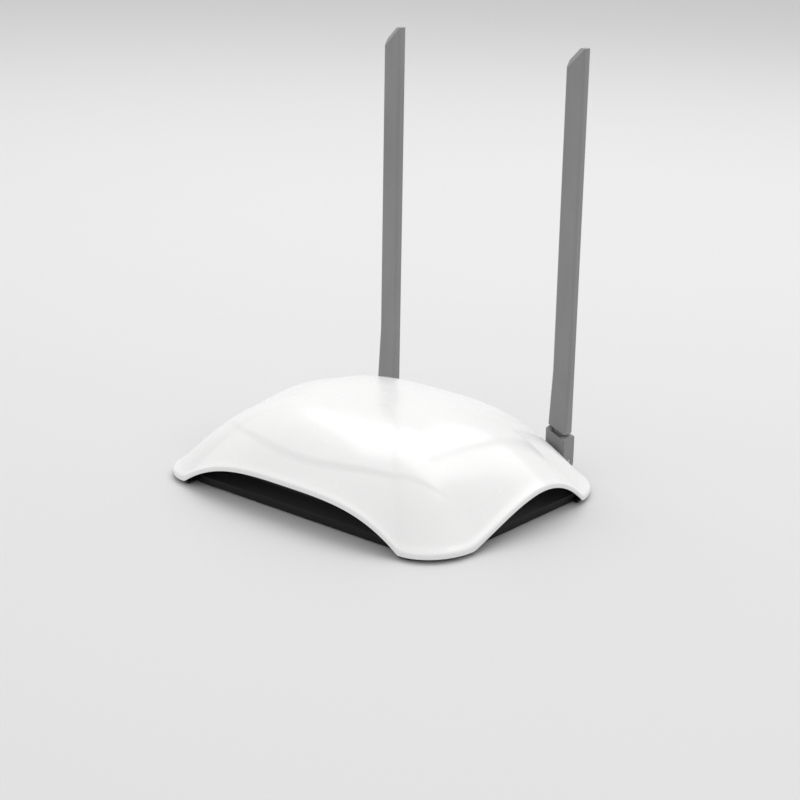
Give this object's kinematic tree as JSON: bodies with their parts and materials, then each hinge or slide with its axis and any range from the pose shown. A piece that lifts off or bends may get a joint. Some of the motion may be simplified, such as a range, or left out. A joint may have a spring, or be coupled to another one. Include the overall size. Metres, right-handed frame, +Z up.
{
  "type": "wifi router",
  "caption": "White four-footed domed wifi router over a black tray, with upright grey blade antennas that swivel and fold at the back.",
  "frame": {"origin": "middle of the footprint on the surface the rubber feet stand on, under the middle of the wall slots", "axes": "+Z up, +X to the right seen from the front, +Y to the back with the sockets and antennas"},
  "size_m": [0.178, 0.1406, 0.207],
  "materials": {
    "cover_white": "high gloss moulded",
    "tray_black": "fine texture",
    "foot_rubber": "matt",
    "screw_steel": "zinc plated",
    "board_green": "solder mask",
    "chip_black": "moulded",
    "pad_grey": "matt",
    "sink_alu": "extruded",
    "tin_plate": "tinned",
    "socket_black": "moulded",
    "contact_gold": "plated",
    "button_black": "moulded",
    "antenna_grey": "satin moulded",
    "wire_black": "jacket"
  },
  "bodies": {
    "chassis": {"top_cover": "cover_white", "base_tray": "tray_black", "rubber_feet": "foot_rubber", "case_screws": "screw_steel", "main_board": "board_green", "board_screws": "screw_steel", "processor": "chip_black", "thermal_pad": "pad_grey", "heat_sink": "sink_alu", "memory_chips": "chip_black", "line_transformers": "chip_black", "power_inductors": "chip_black", "crystals": "tin_plate", "capacitors": "sink_alu", "shield_can": "tin_plate", "wan_socket": "socket_black", "lan_sockets": "socket_black", "wan_contacts": "contact_gold", "lan_contacts": "contact_gold", "power_inlet": "tin_plate", "power_inlet_tongue": "socket_black", "reset_switch": "socket_black", "power_switch": "socket_black", "swivel_washer_left": "socket_black", "coax_left": "wire_black", "coax_plug_left": "contact_gold", "swivel_washer_right": "socket_black", "coax_right": "wire_black", "coax_plug_right": "contact_gold"},
    "swivel_left": {"antenna_swivel_left": "antenna_grey", "swivel_clip_left": "screw_steel", "hinge_pin_left": "screw_steel"},
    "swivel_right": {"antenna_swivel_right": "antenna_grey", "swivel_clip_right": "screw_steel", "hinge_pin_right": "screw_steel"},
    "blade_left": {"antenna_blade_left": "antenna_grey", "antenna_element_left": "board_green", "antenna_feed_left": "wire_black"},
    "blade_right": {"antenna_blade_right": "antenna_grey", "antenna_element_right": "board_green", "antenna_feed_right": "wire_black"},
    "reset_key": {"reset_button": "button_black"},
    "power_key": {"power_button": "button_black"}
  },
  "joints": [
    {"name": "antenna_left_swivel", "type": "hinge", "parent": "chassis", "child": "swivel_left", "pos_m": [-0.0552, 0.0625, 0.0072], "axis": [0, 1, 0], "range_deg": [-45, 15]},
    {"name": "antenna_left_fold", "type": "hinge", "parent": "swivel_left", "child": "blade_left", "pos_m": [-0.0552, 0.069, 0.0072], "axis": [-1, 0, 0], "range_deg": [0, 90]},
    {"name": "antenna_right_swivel", "type": "hinge", "parent": "chassis", "child": "swivel_right", "pos_m": [0.0552, 0.0625, 0.0072], "axis": [0, 1, 0], "range_deg": [-15, 45]},
    {"name": "antenna_right_fold", "type": "hinge", "parent": "swivel_right", "child": "blade_right", "pos_m": [0.0552, 0.069, 0.0072], "axis": [-1, 0, 0], "range_deg": [0, 90]},
    {"name": "reset_press", "type": "slide", "parent": "chassis", "child": "reset_key", "axis": [0, -1, 0], "range_m": [0, 0.0006], "stiffness_N_per_m": 600, "springref_m": -0.0006},
    {"name": "power_press", "type": "slide", "parent": "chassis", "child": "power_key", "axis": [0, -1, 0], "range_m": [0, 0.0018], "stiffness_N_per_m": 500, "springref_m": -0.001}
  ]
}
